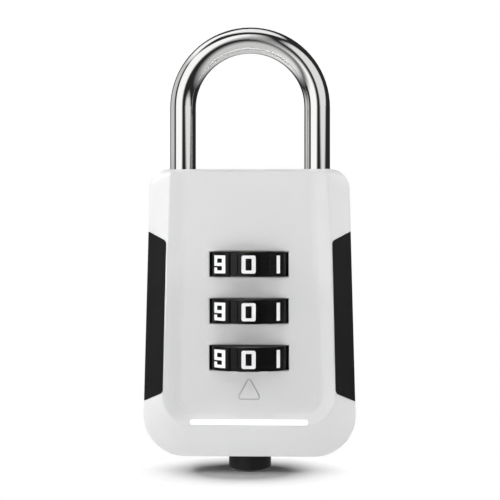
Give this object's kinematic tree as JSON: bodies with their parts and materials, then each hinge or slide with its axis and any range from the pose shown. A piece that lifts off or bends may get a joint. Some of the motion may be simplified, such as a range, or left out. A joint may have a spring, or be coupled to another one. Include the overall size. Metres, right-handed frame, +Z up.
{
  "type": "combination padlock",
  "caption": "Keyless padlock with stacked number wheels behind windows, a round bow shackle, black side grips and a push button in its base.",
  "frame": {"origin": "where the padlock hangs: the inside of the shackle's crown, straight above the spindle's axis", "axes": "+Z up along the shackle's legs, +X to the right seen from the front, front faces -Y"},
  "size_m": [0.0404, 0.0204, 0.0858],
  "materials": {
    "silver_paint": "satin silver-white paint over cast zinc",
    "grip_black": "satin black moulded plastic",
    "white_enamel": "gloss white",
    "cast_zinc": "as cast, grey",
    "screw_steel": "zinc plated",
    "spring_steel": "bright spring steel",
    "wheel_black": "black moulded plastic with white numbers",
    "sleeve_brass": "turned brass",
    "shackle_chrome": "polished chrome plate on steel",
    "spindle_steel": "turned steel",
    "button_black": "satin black moulded plastic"
  },
  "bodies": {
    "housing": {"front_cover": "silver_paint", "rear_cover": "silver_paint", "left_grip": "grip_black", "right_grip": "grip_black", "accent_strip": "white_enamel", "lock_frame": "cast_zinc", "frame_screw_left": "screw_steel", "frame_screw_right": "screw_steel", "wheel_click_spring": "spring_steel"},
    "shackle": {"shackle": "shackle_chrome", "spindle": "spindle_steel", "lift_bridge": "screw_steel", "heel_clip": "spring_steel"},
    "button": {"push_button": "button_black", "button_spring": "spring_steel"},
    "wheel_top": {"number_wheel_top": "wheel_black", "code_sleeve_top": "sleeve_brass"},
    "wheel_middle": {"number_wheel_middle": "wheel_black", "code_sleeve_middle": "sleeve_brass"},
    "wheel_bottom": {"number_wheel_bottom": "wheel_black", "code_sleeve_bottom": "sleeve_brass"}
  },
  "joints": [
    {"name": "shackle_lift", "type": "slide", "parent": "housing", "child": "shackle", "axis": [0, 0, 1], "range_m": [0, 0.00885]},
    {"name": "wheel_top_turn", "type": "hinge", "parent": "housing", "child": "wheel_top", "pos_m": [0, 0, -0.0411], "axis": [0, 0, 1], "continuous": true, "deforming": ["wheel_click_spring"]},
    {"name": "wheel_middle_turn", "type": "hinge", "parent": "housing", "child": "wheel_middle", "pos_m": [0, 0, -0.04995], "axis": [0, 0, 1], "continuous": true},
    {"name": "wheel_bottom_turn", "type": "hinge", "parent": "housing", "child": "wheel_bottom", "pos_m": [0, 0, -0.0588], "axis": [0, 0, 1], "continuous": true},
    {"name": "button_press", "type": "slide", "parent": "housing", "child": "button", "axis": [0, 0, 1], "range_m": [0, 0.0016], "stiffness_N_per_m": 400, "springref_m": -0.0025, "deforming": ["button_spring"]}
  ]
}
